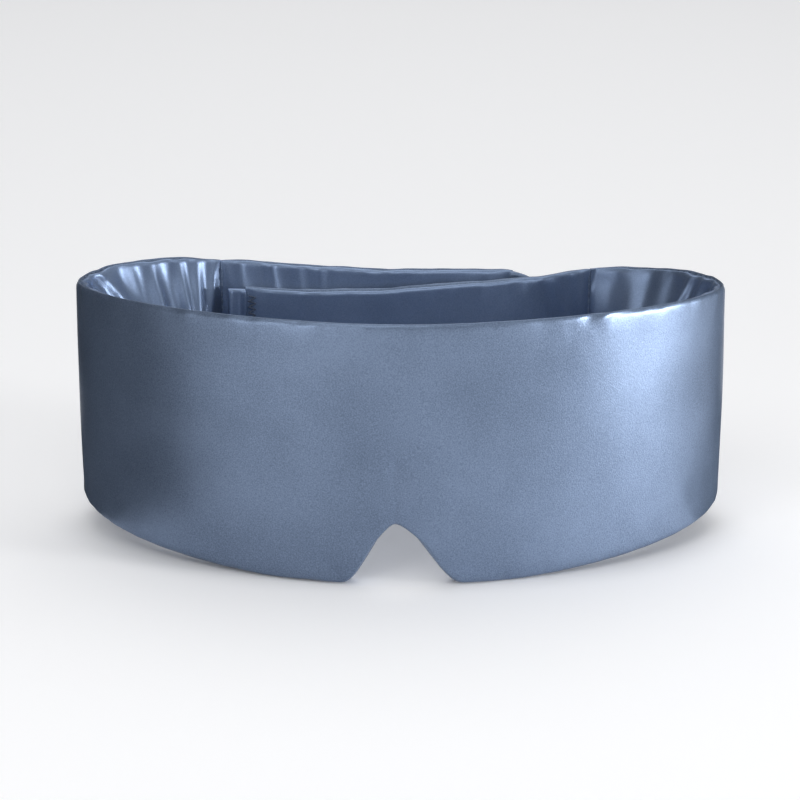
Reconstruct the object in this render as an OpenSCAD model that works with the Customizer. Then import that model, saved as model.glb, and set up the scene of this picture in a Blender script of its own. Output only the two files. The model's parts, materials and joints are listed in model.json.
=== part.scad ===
// Wrap-around padded sleep mask, closed and standing on its lower edge.
// +Z is up, -Y is the front of the face, +X crosses the face. Millimetres.
// The origin is the middle of the closed loop at the level of the lower edge.

/* [Loop] */
// Width of the closed loop across the temples, over the satin
loop_width = 240; // [200:1:288]
// How far the front stands out ahead of the widest place
front_reach = 70; // [56:1:84]
// How far the back straps stand out behind the widest place
back_reach = 56; // [48:1:70]
// Roundness of the loop's front half: 2 is an ellipse, less is more pointed
front_power = 1.68; // [1.6:0.02:2.2]
// Roundness of the loop's back half
back_power = 1.98; // [1.8:0.02:2.3]

/* [Heights] */
// Height of the front, from its lowest point to its top edge
front_height = 98; // [82:1:118]
// How far the lower edge climbs from the front to the temples
temple_rise = 11; // [4:0.5:14]
// How far the top edge drops from the front to the temples
temple_drop = 4.6; // [2:0.2:6]
// How far the top edge drops from the front to the middle of the back
back_drop = 14.6; // [10:0.2:20]
// How late the top edge falls towards the back, on the left and on the right
left_fall = 4.6; // [1.5:0.1:5]
right_fall = 2.2; // [1.5:0.1:5]
// How much lower the inner strap's top lies than the outer strap's
inner_top_drop = 8; // [4:0.5:10]
// Gap that the inner strap's lower edge keeps above the outer strap's
inner_lift = 1.5; // [1:0.5:4]

/* [Nose notch] */
// Depth of the nose notch
notch_depth = 23; // [14:1:28]
// Reach of the notch to the left of the middle
notch_left = 19; // [14:1:24]
// Reach of the notch to the right of the middle
notch_right = 24; // [16:1:28]

/* [Padding] */
// Thickness of the padded front, over the satin
front_thick = 10; // [8:0.5:12]
// Thickness of the outer strap, over the satin
outer_thick = 6.6; // [5.6:0.2:8]
// Thickness of the inner strap, over the satin
inner_thick = 5.5; // [5:0.1:7]
// Thickness at the creases, where the straps are sewn on
crease_thick = 4; // [3.6:0.1:4.6]
// Thickness of one satin face with its fusing
satin = 0.8; // [0.6:0.05:0.9]
// Thickness of the blackout layer
blackout = 0.6; // [0.4:0.05:0.7]
// Width of the seam between two satin faces
seam_wide = 1; // [0.8:0.1:1.2]
// Depth of that seam
seam_deep = 0.9; // [0.7:0.1:1]

/* [Straps] */
// Place across the face where the right strap is sewn on
right_crease = 72; // [70:1:80]
// Place across the face where the left strap is sewn on
left_crease = 70; // [68:1:78]
// Place across the face where the outer strap ends
outer_end = 48; // [34:1:50]
// Place across the face where the inner strap ends
inner_end = 70; // [58:1:70]
// Length of the flat pull tab on the inner strap
tab_length = 12; // [8:1:14]
// Thickness of the flat pull tab and of the outer strap's hem
tab_thick = 2.4; // [2:0.1:3]
// Length of the outer strap's flat end hem
hem_length = 8; // [6:1:10]
// Gap on each side of the crease that the strap folds in
fold_gap = 2.3; // [2.3:0.1:3]

/* [Closure] */
// Thickness of each closure tape
tape_thick = 1.4; // [1.2:0.1:1.6]
// Height of the soft loop tape
loop_tape_high = 42; // [30:1:46]
// Length of the soft loop tape
loop_tape_long = 78; // [50:1:80]
// Height of the hook tape
hook_tape_high = 36; // [24:1:42]
// Length of the hook tape
hook_tape_long = 58; // [30:1:66]
// Gap between the two tapes, so that the closed straps stay clear
tape_gap = 0.4; // [0.3:0.1:1]
// Width of the sewing thread
thread = 0.5; // [0.4:0.05:0.6]
// Distance from one zigzag stitch to the next
zigzag_pitch = 4; // [3:0.5:5]
// Width of the zigzag row
zigzag_wide = 5; // [3:0.5:6]

/* [Hidden] */

satin_blue = [0.42, 0.50, 0.62];
lining_blue = [0.47, 0.55, 0.67];
thread_blue = [0.33, 0.40, 0.52];
wadding_white = [0.92, 0.92, 0.90];
blackout_black = [0.10, 0.10, 0.12];
tape_navy = [0.20, 0.25, 0.34];

// The three padded parts of the loop
FRONT = 0;
OUTER = 1;
INNER = 2;

clear = 0.1;          // between one layer and the next
coarse = 8;           // degrees from station to station along the loop
fine = 2.25;          // the same, round the nose notch
notch_span = 18;      // degrees of the loop that the notch takes, each side of the middle
land_span = 26;       // degrees of level lower edge, each side of the middle
back_land = 0.17;     // share of the back, from its middle, with a level lower edge
pinch = 11;           // degrees over which the padding thins towards a crease
full_turn = 360;
front_middle = -90;   // where the front's middle lies, in degrees round the loop

mid_half_width = (loop_width - front_thick) / 2;
mid_front = front_reach - front_thick / 2;
mid_back = back_reach - outer_thick / 2;
middle_y = (front_reach - back_reach) / 2;

// How far the inner strap lies inside the outer one: half of each, two tapes and their gaps
inner_inset = (outer_thick + inner_thick) / 2 + 2 * tape_thick + 2 * clear + tape_gap;

// ---- the loop seen from above ----

function signed_power(v, p) = sign(v) * pow(abs(v), p);

// A point of the loop's middle line at u degrees: 0 is the right temple, 90 the back
function middle(u) =
    let (power = sin(u) < 0 ? front_power : back_power)
    let (reach = sin(u) < 0 ? mid_front : mid_back)
    [mid_half_width * signed_power(cos(u), 2 / power),
     middle_y + reach * signed_power(sin(u), 2 / power)];

function chord(u) = middle(u + 0.5) - middle(u - 0.5);

// The unit vector that points out of the loop
function outward(u) =
    let (c = chord(u))
    [c[1], -c[0]] / norm(c);

// Millimetres along the loop for one degree
function speed(u) = norm(chord(u));

// Where the back half of the loop stands x to the right of the middle
function back_angle(x) = acos(signed_power(x / mid_half_width, back_power / 2));

right_fold = back_angle(right_crease);
left_fold = back_angle(-left_crease);
right_gap = fold_gap / speed(right_fold);
left_gap = fold_gap / speed(left_fold);
outer_stop = back_angle(outer_end);
inner_stop = back_angle(-inner_end);
hem_angle = hem_length / speed(outer_stop);
tab_angle = tab_length / speed(inner_stop);
end_gap = 3 * clear / speed(inner_stop);

// A smooth step from 0 to 1
function ease(v) =
    let (t = min(1, max(0, v)))
    t * t * (3 - 2 * t);

// ---- heights, thickness and inset along the loop ----

function from_front(u) = abs(u - front_middle);

function notch(u) =
    let (x = middle(u)[0])
    let (reach = x < 0 ? notch_left : notch_right)
    abs(x) < reach && sin(u) < 0 ? notch_depth * (1 + cos(180 * x / reach)) / 2 : 0;

function front_climb(u) = pow(max(0, (from_front(u) - land_span) / (90 - land_span)), 1.35);

function back_climb(u) = pow(max(0, (abs(cos(u)) - back_land) / (1 - back_land)), 2);

function edge_low(u) = temple_rise * (sin(u) < 0 ? front_climb(u) : back_climb(u));

function edge_high(u) =
    sin(u) < 0
        ? front_height - temple_drop * pow(from_front(u) / 90, 2)
        : front_height - temple_drop
            - (back_drop - temple_drop) * pow(sin(u), cos(u) < 0 ? left_fall : right_fall);

function low(part, u) = edge_low(u) + (part == FRONT ? notch(u) : part == INNER ? inner_lift : 0);

function high(part, u) =
    edge_high(u) - (part == INNER ? inner_top_drop * ease((u - right_fold) / 75) : 0);

function half(part, u) =
    let (thick = part == FRONT ? front_thick : part == OUTER ? outer_thick : inner_thick)
    let (away = part == FRONT
        ? min(right_fold - u, u - (left_fold - full_turn))
        : part == OUTER
            ? min(left_fold - u, (u - outer_stop) + pinch / 3)
            : min(u - right_fold, (inner_stop - u) + pinch / 3))
    (crease_thick + (thick - crease_thick) * ease(away / pinch)) / 2;

// How far a part's middle line lies inside the loop's
function inset(part, u) =
    part == INNER ? inner_inset * ease((u - right_fold) / (outer_stop - 2 - right_fold)) : 0;

// ---- stations along the loop ----

function steps(from, to, step) =
    let (count = max(1, round(abs(to - from) / step)))
    [for (i = [0 : count]) from + (to - from) * i / count];

function tail(list) = [for (i = [1 : len(list) - 1]) list[i]];

left_notch_end = front_middle - notch_span;
right_notch_end = front_middle + notch_span;
left_land_end = front_middle - land_span;
right_land_end = front_middle + land_span;
front_from = left_fold - full_turn + left_gap;
front_to = right_fold - right_gap;
back_left_temple = -180;

left_stations = concat(
    steps(front_from, back_left_temple, coarse),
    tail(steps(back_left_temple, left_land_end, coarse)),
    [left_notch_end]
);
notch_stations = steps(left_notch_end, right_notch_end, fine);
right_stations = concat(
    [right_notch_end],
    steps(right_land_end, 0, coarse),
    tail(steps(0, front_to, coarse))
);
front_stations = concat(left_stations, tail(notch_stations), tail(right_stations));

outer_from = outer_stop + hem_angle;
outer_to = left_fold - left_gap;
inner_from = right_fold + right_gap;
inner_to = inner_stop - tab_angle;
outer_stations = concat(steps(outer_from, 90, coarse / 2), tail(steps(90, outer_to, coarse / 2)));
inner_stations = steps(inner_from, inner_to, coarse / 2);

function stations(part) =
    part == FRONT ? front_stations : part == OUTER ? outer_stations : inner_stations;

// ---- cross-sections: lists of [distance outward, height] ----

// A satin face: half of a rounded band, on the side given (1 outer, -1 inner)
function face_section(t, lo, hi, side) =
    let (start = seam_wide / 2 + clear)
    let (skin = function (r) [
        [start, hi - t + sqrt(r * r - start * start)],
        [r * cos(45), hi - t + r * sin(45)],
        [r, hi - t],
        [r, lo + t],
        [r * cos(45), lo + t - r * sin(45)],
        [start, lo + t - sqrt(r * r - start * start)]
    ])
    let (out = skin(t), back = skin(t - satin))
    [for (i = [0 : 11]) let (p = i < 6 ? out[i] : back[11 - i]) [side * p[0], p[1]]];

// The room inside the satin
function core_half(t) = t - satin - clear;

// How far the padding reaches inwards, short of the blackout layer
function core_back(part, t) = core_half(t) - (part == FRONT ? blackout + clear : 0);

function core_section(part, t, lo, hi) =
    let (r = core_half(t), b = core_back(part, t))
    let (top = hi - t - seam_deep / 3, base = lo + t + seam_deep / 3)
    let (rise = sqrt(max(0.01, r * r - b * b)))
    [
        [0, top + r], [r * cos(45), top + r * sin(45)], [r, top],
        [r, base], [r * cos(45), base - r * sin(45)], [0, base - r],
        [-b, base - rise], [-b, top + rise]
    ];

function sheet_section(from, thick, lo, hi) =
    [[from, hi], [from + thick, hi], [from + thick, lo], [from, lo]];

// Stands a cross-section up at station u of a part
function stand(part, u, section) =
    let (m = middle(u), n = outward(u), shift = inset(part, u))
    [for (p = section) [m[0] + (p[0] - shift) * n[0], m[1] + (p[0] - shift) * n[1], p[1]]];

// Joins rings of points into one closed solid
module skin_over(rings) {
    count = len(rings[0]);
    last = len(rings) - 1;
    points = [for (ring = rings) each ring];
    // Point i of a ring faces point count - 1 - i, so a cap is a strip of triangles
    first_cap = [
        for (i = [0 : count / 2 - 2])
            let (j = count - 1 - i)
            each [[i, i + 1, j], [i + 1, j - 1, j]]
    ];
    last_cap = [for (t = first_cap) [last * count + t[2], last * count + t[1], last * count + t[0]]];
    walls = [
        for (r = [0 : last - 1])
            for (i = [0 : count - 1])
                let (j = (i + 1) % count)
                let (a = r * count + i, b = r * count + j)
                each [[a, a + count, b], [b, a + count, b + count]]
    ];
    polyhedron(points, concat(first_cap, last_cap, walls), convexity = 12);
}

module face(part, side) {
    skin_over([
        for (u = stations(part))
            stand(part, u, face_section(half(part, u), low(part, u), high(part, u), side))
    ]);
}

module core(part) {
    skin_over([
        for (u = stations(part))
            stand(part, u, core_section(part, half(part, u), low(part, u), high(part, u)))
    ]);
}

module top_seam(part) {
    skin_over([
        for (u = stations(part))
            let (hi = high(part, u))
            stand(part, u, sheet_section(-seam_wide / 2, seam_wide, hi - seam_deep, hi))
    ]);
}

module bottom_seam(part, list) {
    skin_over([
        for (u = list)
            let (lo = low(part, u))
            stand(part, u, sheet_section(-seam_wide / 2, seam_wide, lo, lo + seam_deep))
    ]);
}

// A flat strip on a strap, from one distance outward and through one thickness
module strip(part, list, from, thick, below, above) {
    skin_over([
        for (u = list)
            let (centre = (low(part, u) + high(part, u)) / 2)
            stand(part, u, sheet_section(from, thick, centre - below, centre + above))
    ]);
}

// A roll of folded cloth that a strap turns about
module join_roll(fold) {
    place = middle(fold);
    lo = edge_low(fold) + crease_thick / 2;
    hi = edge_high(fold) - crease_thick / 2;
    translate([place[0], place[1], lo])
        cylinder(h = hi - lo, r = fold_gap - 6 * clear, $fn = 32);
}

// ---- the front ----

module front_shell() {
    color(satin_blue) face(FRONT, 1);
}

module front_padding() {
    color(wadding_white) core(FRONT);
}

module front_blackout_layer() {
    color(blackout_black)
        skin_over([
            for (u = front_stations)
                let (t = half(FRONT, u), back = core_half(t))
                let (lo = low(FRONT, u) + t + clear, hi = high(FRONT, u) - t - clear)
                stand(FRONT, u, sheet_section(-back, blackout, lo, hi))
        ]);
}

module front_lining() {
    color(lining_blue) face(FRONT, -1);
}

module front_top_seam() {
    color(satin_blue) top_seam(FRONT);
}

module front_bottom_seam() {
    color(satin_blue) {
        bottom_seam(FRONT, left_stations);
        bottom_seam(FRONT, right_stations);
    }
}

module nose_notch_seam() {
    trim = clear / speed(left_notch_end);
    inner = [for (i = [1 : len(notch_stations) - 2]) notch_stations[i]];
    color(satin_blue)
        bottom_seam(FRONT, concat([left_notch_end + trim], inner, [right_notch_end - trim]));
}

module left_join_seam() {
    color(satin_blue) join_roll(left_fold);
}

module right_join_seam() {
    color(satin_blue) join_roll(right_fold);
}

// ---- the left strap, which lies outside ----

module left_strap_outer_face() {
    color(satin_blue) face(OUTER, 1);
}

module left_strap_padding() {
    color(wadding_white) core(OUTER);
}

module left_strap_inner_face() {
    color(lining_blue) face(OUTER, -1);
}

module left_strap_top_seam() {
    color(satin_blue) top_seam(OUTER);
}

module left_strap_bottom_seam() {
    color(satin_blue) bottom_seam(OUTER, outer_stations);
}

hem_stations = steps(outer_stop, outer_from - end_gap, coarse / 2);

module left_strap_end_hem() {
    color(satin_blue)
        skin_over([
            for (u = hem_stations)
                let (lo = low(OUTER, u) + 1, hi = high(OUTER, u) - 1)
                stand(OUTER, u, sheet_section(-tab_thick / 2, tab_thick, lo, hi))
        ]);
}

module left_strap_end_stitches() {
    u = outer_stop + hem_angle / 2;
    step = thread / speed(u);
    color(thread_blue)
        skin_over([
            for (v = [u, u + step])
                let (lo = low(OUTER, v) + 3, hi = high(OUTER, v) - 3)
                stand(OUTER, v, sheet_section(tab_thick / 2 + clear, thread, lo, hi))
        ]);
}

// Where the closure tapes lie, in degrees round the loop
tape_middle = (outer_from + inner_to) / 2;
loop_half_angle = loop_tape_long / speed(tape_middle) / 2;
hook_half_angle = hook_tape_long / speed(tape_middle) / 2;
loop_stations = steps(tape_middle - loop_half_angle, tape_middle + loop_half_angle, coarse / 2);
hook_stations = steps(tape_middle - hook_half_angle, tape_middle + hook_half_angle, coarse / 2);

loop_from = -outer_thick / 2 - clear - tape_thick;
hook_from = inner_thick / 2 + clear;

// Both tapes lie at the same height, at the middle of the inner strap
function tape_centre(u) = (low(INNER, u) + high(INNER, u)) / 2;

module tape(part, list, from, thick, lo, hi) {
    skin_over([
        for (u = list)
            let (c = tape_centre(u))
            stand(part, u, sheet_section(from, thick, c + lo, c + hi))
    ]);
}

// A row of thread along the top and the foot of a tape
module tape_rows(part, list, from, high_half) {
    tape(part, list, from, thread, high_half + clear, high_half + clear + thread);
    tape(part, list, from, thread, -high_half - clear - thread, -high_half - clear);
}

module loop_tape() {
    color(tape_navy)
        tape(OUTER, loop_stations, loop_from, tape_thick, -loop_tape_high / 2, loop_tape_high / 2);
}

module loop_tape_stitches() {
    from = -outer_thick / 2 - clear - thread;
    color(thread_blue) tape_rows(OUTER, loop_stations, from, loop_tape_high / 2);
}

// ---- the right strap, which lies inside ----

module right_strap_outer_face() {
    color(satin_blue) face(INNER, 1);
}

module right_strap_padding() {
    color(wadding_white) core(INNER);
}

module right_strap_inner_face() {
    color(lining_blue) face(INNER, -1);
}

module right_strap_seams() {
    color(satin_blue) {
        top_seam(INNER);
        bottom_seam(INNER, inner_stations);
    }
}

module hook_tape() {
    color(tape_navy)
        tape(INNER, hook_stations, hook_from, tape_thick, -hook_tape_high / 2, hook_tape_high / 2);
}

module hook_tape_stitches() {
    color(thread_blue) tape_rows(INNER, hook_stations, hook_from, hook_tape_high / 2);
}

tab_stations = steps(inner_to + end_gap, inner_stop, coarse / 2);

module pull_tab() {
    color(satin_blue)
        skin_over([
            for (u = tab_stations)
                let (lo = low(INNER, u) + 1, hi = high(INNER, u) - 1)
                stand(INNER, u, sheet_section(-tab_thick / 2, tab_thick, lo, hi))
        ]);
}

module tab_zigzag_stitches() {
    u = inner_to + end_gap + tab_angle / 2;
    swing = zigzag_wide / speed(u) / 2;
    wide = thread / speed(u);
    lo = low(INNER, u) + 4;
    hi = high(INNER, u) - 4;
    count = floor((hi - lo) / zigzag_pitch);
    from = -tab_thick / 2 - clear - thread;
    color(thread_blue)
        skin_over([
            for (i = [0 : count])
                let (v = u + (i % 2 == 0 ? -swing : swing))
                let (z = lo + i * zigzag_pitch)
                let (first = stand(INNER, v, [[from, z], [from + thread, z]]))
                let (second = stand(INNER, v + wide, [[from + thread, z], [from, z]]))
                concat(first, second)
        ]);
}

front_shell();
front_padding();
front_blackout_layer();
front_lining();
front_top_seam();
front_bottom_seam();
nose_notch_seam();
left_join_seam();
right_join_seam();
left_strap_outer_face();
left_strap_padding();
left_strap_inner_face();
left_strap_top_seam();
left_strap_bottom_seam();
left_strap_end_hem();
left_strap_end_stitches();
loop_tape();
loop_tape_stitches();
right_strap_outer_face();
right_strap_padding();
right_strap_inner_face();
right_strap_seams();
hook_tape();
hook_tape_stitches();
pull_tab();
tab_zigzag_stitches();
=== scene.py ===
# %% [markdown]
# A wrap-around padded sleep mask: a tall satin front with a nose notch, bent round both
# temples into two padded back straps that lap over each other. The construction is loaded
# first as a fixed frame. Everything made here is laid round it, in metres.

# %% Load the frame
import json
import math

import bpy
import numpy as np
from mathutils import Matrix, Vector


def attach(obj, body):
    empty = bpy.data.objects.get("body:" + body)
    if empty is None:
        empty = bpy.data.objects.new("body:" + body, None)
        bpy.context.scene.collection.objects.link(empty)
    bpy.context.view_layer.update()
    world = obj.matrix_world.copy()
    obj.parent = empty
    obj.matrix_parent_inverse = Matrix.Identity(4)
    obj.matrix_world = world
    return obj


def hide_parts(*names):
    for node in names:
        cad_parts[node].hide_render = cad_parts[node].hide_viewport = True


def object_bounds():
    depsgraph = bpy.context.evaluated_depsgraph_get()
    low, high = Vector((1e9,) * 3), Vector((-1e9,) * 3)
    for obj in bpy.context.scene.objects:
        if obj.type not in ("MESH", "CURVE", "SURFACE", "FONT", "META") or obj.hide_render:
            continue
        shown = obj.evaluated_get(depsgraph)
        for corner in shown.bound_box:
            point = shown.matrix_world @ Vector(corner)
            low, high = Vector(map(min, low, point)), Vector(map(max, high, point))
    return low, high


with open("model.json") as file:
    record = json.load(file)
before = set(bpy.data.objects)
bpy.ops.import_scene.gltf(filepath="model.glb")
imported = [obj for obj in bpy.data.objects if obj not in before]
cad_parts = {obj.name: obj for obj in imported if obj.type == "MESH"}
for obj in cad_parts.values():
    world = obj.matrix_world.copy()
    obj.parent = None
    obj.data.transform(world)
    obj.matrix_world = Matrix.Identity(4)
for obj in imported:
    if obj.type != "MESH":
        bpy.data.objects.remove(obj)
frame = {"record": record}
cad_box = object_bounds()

record = frame["record"]
scene = bpy.context.scene

# %% [markdown]
# The camera is a long lens about a metre away, a little above the rim, so that the inside
# of the far side shows over the front. It comes first, because every later choice of
# detail is judged through it.

# %% Camera
MM = 0.001
CAMERA_DISTANCE = 1.0316
CAMERA_ELEVATION = math.radians(18.3)
CAMERA_TURN = math.radians(1.36)
LENS = 123.8
SENSOR = 36.0
aim = Vector((0, 7 * MM, 49 * MM))

bpy.ops.object.camera_add()
camera = bpy.context.object
camera.name = "studio_camera"
reach = CAMERA_DISTANCE * math.cos(CAMERA_ELEVATION)
camera.location = aim + Vector((
    reach * math.sin(CAMERA_TURN),
    -reach * math.cos(CAMERA_TURN),
    CAMERA_DISTANCE * math.sin(CAMERA_ELEVATION),
))
camera.rotation_euler = (aim - camera.location).to_track_quat("-Z", "Y").to_euler()
camera.data.lens = LENS
camera.data.sensor_width = SENSOR
camera.data.clip_end = 50
camera.data.shift_y = -0.0049
scene.camera = camera
print("camera", [round(c, 3) for c in camera.location])

# %% [markdown]
# Soft studio light. Satin shows its shape through broad reflections, so the lamps are
# panels: one low at the right for the bright upright band on that temple, a wide one
# overhead, a weak one at the left that keeps the dark side readable, and one that reaches
# over the rim to the lining. Dark cards, seen only in reflections, shade the temples.

# %% Lights and dark cards
def softbox(name, place, target, size, power, size_y=None):
    bpy.ops.object.light_add(type="AREA", location=place)
    lamp = bpy.context.object
    lamp.name = name
    lamp.data.shape = "RECTANGLE"
    lamp.data.size = size
    lamp.data.size_y = size_y or size
    lamp.data.energy = power
    lamp.rotation_euler = (Vector(target) - Vector(place)).to_track_quat("-Z", "Y").to_euler()
    return lamp


centre = (0, 0, 45 * MM)
softbox("overhead_panel", (0.0, 0.8, 1.7), centre, 1.9, 14.5)
softbox("right_panel", (1.05, -0.36, 0.125), centre, 0.17, 11.6, 0.26)
softbox("left_panel", (-0.60, -0.80, 0.22), centre, 0.30, 1.9, 0.4)
softbox("inside_panel", (-0.25, -0.75, 0.95), centre, 1.1, 3.6, 0.6)


def dark_flag(name, x, y, turn, wide, high, lying=False):
    """A dark card that only the satin sees: it gives the temples their dark edge."""
    bpy.ops.mesh.primitive_plane_add(size=1, location=(x, y, 0.002 if lying else high / 2 + 0.002))
    flag = bpy.context.object
    flag.name = name
    flag.scale = (wide, high, 1)
    flag.rotation_euler = (0 if lying else math.radians(90), 0, math.radians(turn))
    card = bpy.data.materials.new(name)
    card.use_nodes = True
    card_shader = card.node_tree.nodes["Principled BSDF"]
    card_shader.inputs["Base Color"].default_value = (0.02, 0.02, 0.025, 1)
    card_shader.inputs["Roughness"].default_value = 1.0
    flag.data.materials.append(card)
    flag.visible_camera = False
    flag.visible_diffuse = False
    flag.visible_shadow = False
    return flag


dark_flag("left_flag", -0.200, 0.03, 88, 0.30, 0.22)
dark_flag("right_flag", 0.215, 0.13, 70, 0.22, 0.20)
dark_flag("left_floor_flag", -0.160, 0.00, 0, 0.08, 0.20, lying=True)
dark_flag("right_floor_flag", 0.172, 0.06, -20, 0.09, 0.16, lying=True)


# %% [markdown]
# The floor is a plain pale sheet. A little of its own light, for camera and reflection rays
# only, makes it as pale as a studio sweep without more light on the mask. That light fades
# inside the loop, where the floor is in shade.

# %% Floor and surroundings
def new_material(name):
    material = bpy.data.materials.new(name)
    material.use_nodes = True
    tree = material.node_tree
    shader = tree.nodes["Principled BSDF"]
    return material, tree, shader


def add_node(tree, kind, **settings):
    """A shader node with its own settings, such as its operation, made in one line."""
    node = tree.nodes.new("ShaderNode" + kind)
    for key, value in settings.items():
        setattr(node, key, value)
    return node


def map_range(tree, **limits):
    """A Map Range node. from_min=0.3 sets its From Min, and so on."""
    node = add_node(tree, "MapRange")
    for key, value in limits.items():
        node.inputs[key.replace("_", " ").title()].default_value = value
    return node


FLOOR_SHADE = 0.86
FLOOR_LIFT = 0.24
LOOP_HALF_WIDE, LOOP_HALF_DEEP = 0.118, 0.062
bpy.ops.mesh.primitive_plane_add(size=12, location=(0, 0, 0))
floor = bpy.context.object
floor.name = "studio_floor"
floor_material, floor_tree, floor_shader = new_material("pale_floor")
floor_shader.inputs["Base Color"].default_value = (FLOOR_SHADE, FLOOR_SHADE, FLOOR_SHADE * 1.01, 1)
floor_shader.inputs["Roughness"].default_value = 0.9
floor_shader.inputs["Specular IOR Level"].default_value = 0.1
floor_links = floor_tree.links.new
light_path = add_node(floor_tree, "LightPath")
seen = light_path.outputs["Is Camera Ray"]
for extra in ("Is Glossy Ray", "Is Transmission Ray"):
    either = add_node(floor_tree, "Math", operation="MAXIMUM")
    floor_links(seen, either.inputs[0])
    floor_links(light_path.outputs[extra], either.inputs[1])
    seen = either.outputs[0]
floor_place = add_node(floor_tree, "TexCoord")
floor_scale = add_node(floor_tree, "VectorMath", operation="MULTIPLY")
floor_scale.inputs[1].default_value = (1 / LOOP_HALF_WIDE, 1 / LOOP_HALF_DEEP, 0)
floor_reach = add_node(floor_tree, "VectorMath", operation="LENGTH")
shaded = map_range(floor_tree, from_min=0.86, from_max=1.14, to_min=FLOOR_LIFT * 0.15,
                   to_max=FLOOR_LIFT)
shaded.interpolation_type = "SMOOTHSTEP"
floor_links(floor_place.outputs["Object"], floor_scale.inputs[0])
floor_links(floor_scale.outputs["Vector"], floor_reach.inputs[0])
floor_links(floor_reach.outputs["Value"], shaded.inputs["Value"])
lift = add_node(floor_tree, "Math", operation="MULTIPLY")
floor_links(seen, lift.inputs[0])
floor_links(shaded.outputs[0], lift.inputs[1])
floor_shader.inputs["Emission Color"].default_value = (1, 0.995, 1, 1)
floor_links(lift.outputs[0], floor_shader.inputs["Emission Strength"])
floor.data.materials.append(floor_material)

WORLD_DIM, WORLD_BRIGHT = 0.06, 0.44
world = bpy.data.worlds.new("studio_world")
world.use_nodes = True
sky_tree, world_link = world.node_tree, world.node_tree.links.new
sky = sky_tree.nodes["Background"]
sky.inputs["Color"].default_value = (0.95, 0.97, 1.0, 1)
sky_way = add_node(sky_tree, "TexCoord")
sky_axes = add_node(sky_tree, "SeparateXYZ")
sky_side = map_range(sky_tree, from_min=-1.0, from_max=1.0, to_min=WORLD_DIM, to_max=WORLD_BRIGHT)
world_link(sky_way.outputs["Generated"], sky_axes.inputs[0])
world_link(sky_axes.outputs["X"], sky_side.inputs["Value"])
world_link(sky_side.outputs[0], sky.inputs["Strength"])
scene.world = world
scene.view_settings.view_transform = "Standard"

# %% [markdown]
# The whole mask follows one closed line seen from above: two half superellipses that meet
# at the temples. An angle u walks round it: -90 is the nose, 0 the right temple, 90 the
# back. Each padded part has its own thickness, lower and upper edge along that line.

# %% The loop that everything follows
FRONT, OUTER, INNER = "front", "outer strap", "inner strap"
HALF = {FRONT: 5.0 * MM, OUTER: 3.3 * MM, INNER: 2.75 * MM}
HALF_CREASE = 2.4 * MM
FRONT_POWER, BACK_POWER = 1.68, 1.98
TEMPLE_Y = 7 * MM
low_corner, high_corner = cad_box
MID_WIDE = high_corner[0] - HALF[FRONT]
MID_FRONT = TEMPLE_Y - low_corner[1] - HALF[FRONT]
MID_BACK = high_corner[1] - TEMPLE_Y - HALF[OUTER]
FRONT_HIGH = high_corner[2]
TEMPLE_RISE, TEMPLE_DROP, BACK_DROP = 11 * MM, 4.6 * MM, 14.6 * MM
LEFT_FALL, RIGHT_FALL = 4.6, 2.2
INNER_DROP, INNER_LIFT = 8 * MM, 1.5 * MM
NOTCH_DEEP, NOTCH_LEFT, NOTCH_RIGHT = 23 * MM, 19 * MM, 24 * MM
INNER_INSET = 9.45 * MM
LAND, BACK_LAND = 26.0, 0.17


def signed_power(v, p):
    return np.sign(v) * np.abs(v) ** p


def middle(u):
    """Points of the loop's middle line, seen from above."""
    turn = np.radians(u)
    ahead = np.sin(turn) < 0
    power = np.where(ahead, FRONT_POWER, BACK_POWER)
    far = np.where(ahead, MID_FRONT, MID_BACK)
    x = MID_WIDE * signed_power(np.cos(turn), 2 / power)
    y = TEMPLE_Y + far * signed_power(np.sin(turn), 2 / power)
    return np.stack([x, y], -1)


def outward(u):
    """Unit vectors out of the loop. A wide step keeps them smooth where the line turns."""
    chord = middle(u + 1.5) - middle(u - 1.5)
    normal = np.stack([chord[..., 1], -chord[..., 0]], -1)
    return normal / np.linalg.norm(normal, axis=-1, keepdims=True)


def speed(u):
    """Metres along the loop for one degree."""
    return float(np.linalg.norm(middle(u + 0.5) - middle(u - 0.5)))


def back_angle(x):
    return math.degrees(math.acos(signed_power(x / MID_WIDE, BACK_POWER / 2)))


def ease(v):
    t = np.clip(v, 0, 1)
    return t * t * (3 - 2 * t)


def soften(a, b, reach):
    """The smaller of two lengths, with a rounded change between them."""
    return -reach * np.logaddexp(-a / reach, -b / reach)


hinges = {j["name"]: j for j in record["behaviour"]["joints"]}
RIGHT_FOLD = back_angle(hinges["right_strap_fold"]["pos_m"][0])
LEFT_FOLD = back_angle(hinges["left_strap_fold"]["pos_m"][0])
OUTER_END = back_angle(51.5 * MM)
INSET_FULL = back_angle(48 * MM) - 2
INNER_END = LEFT_FOLD
TAB_ANGLE = 6.2 * MM / speed(INNER_END)
HEM_ANGLE = 8 * MM / speed(OUTER_END)
TAB_FROM = INNER_END - TAB_ANGLE
HEM_FROM = OUTER_END + HEM_ANGLE
print("folds at", round(RIGHT_FOLD, 1), round(LEFT_FOLD, 1), "tab from", round(TAB_FROM, 1))


def notch(u):
    x = middle(u)[..., 0]
    far = np.where(x < 0, NOTCH_LEFT, NOTCH_RIGHT)
    inside = (np.abs(x) < far) & (np.sin(np.radians(u)) < 0)
    return np.where(inside, NOTCH_DEEP * (1 + np.cos(np.pi * x / far)) / 2, 0)


def lower_edge(part, u):
    ahead = np.sin(np.radians(u)) < 0
    front = np.maximum(0, (np.abs(u + 90) - LAND) / (90 - LAND)) ** 1.35
    back = np.maximum(0, (np.abs(np.cos(np.radians(u))) - BACK_LAND) / (1 - BACK_LAND)) ** 2
    edge = TEMPLE_RISE * np.where(ahead, front, back)
    return edge + (notch(u) if part == FRONT else INNER_LIFT if part == INNER else 0)


END_CORNER = 4.6 * MM


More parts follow.
